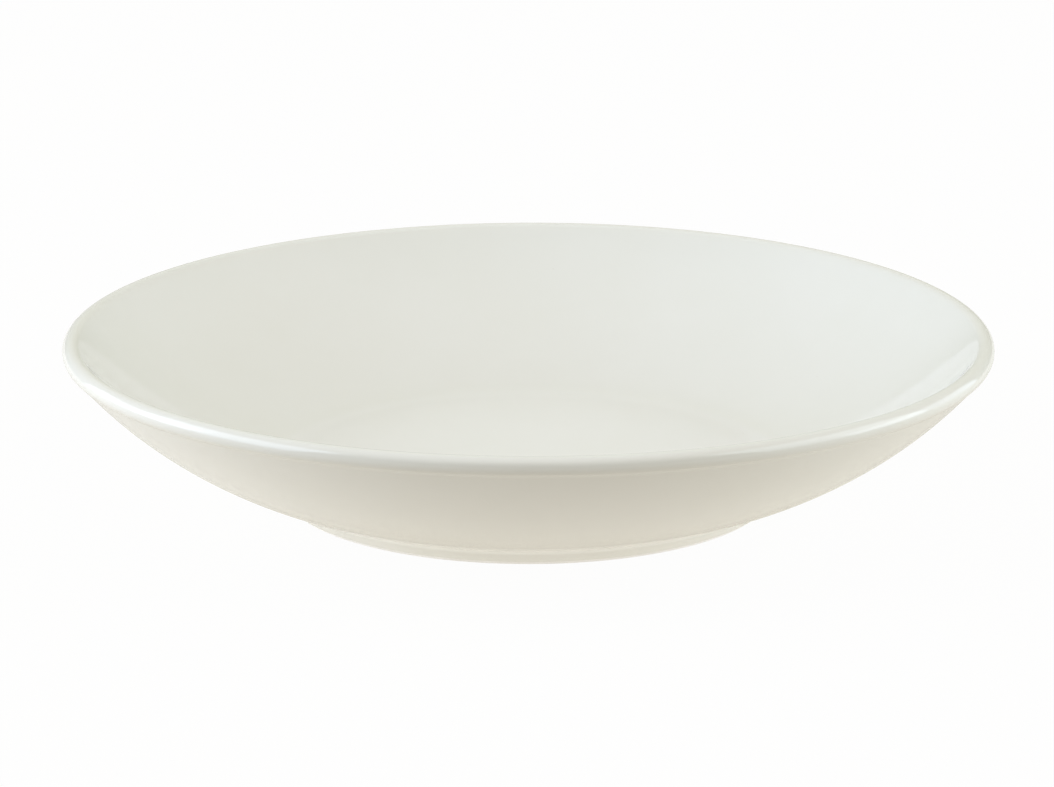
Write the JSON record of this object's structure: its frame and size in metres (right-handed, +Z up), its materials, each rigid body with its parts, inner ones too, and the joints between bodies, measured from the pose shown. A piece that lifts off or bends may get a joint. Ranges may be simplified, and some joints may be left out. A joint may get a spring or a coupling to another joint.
{
  "type": "soup plate",
  "caption": "Round rimless soup plate with a flat floor, a curved flaring wall, a rolled lip and a low foot ring, glazed all over except its standing edge.",
  "frame": {"origin": "centre of the foot ring's standing plane", "axes": "+Z up along the axis that the plate is turned about, from the foot to the lip; X and Y are equal directions across the plate"},
  "size_m": [0.23, 0.23, 0.042],
  "materials": {
    "porcelain": "bare fired porcelain, fine and matt, smoothed where it stands",
    "ivory_glaze": "glossy ivory glaze, a little thinner on the lip and deeper in the hollows"
  },
  "bodies": {
    "root": {"porcelain_body": "porcelain", "glaze_coat": "ivory_glaze", "base_glaze": "ivory_glaze"}
  },
  "joints": []
}
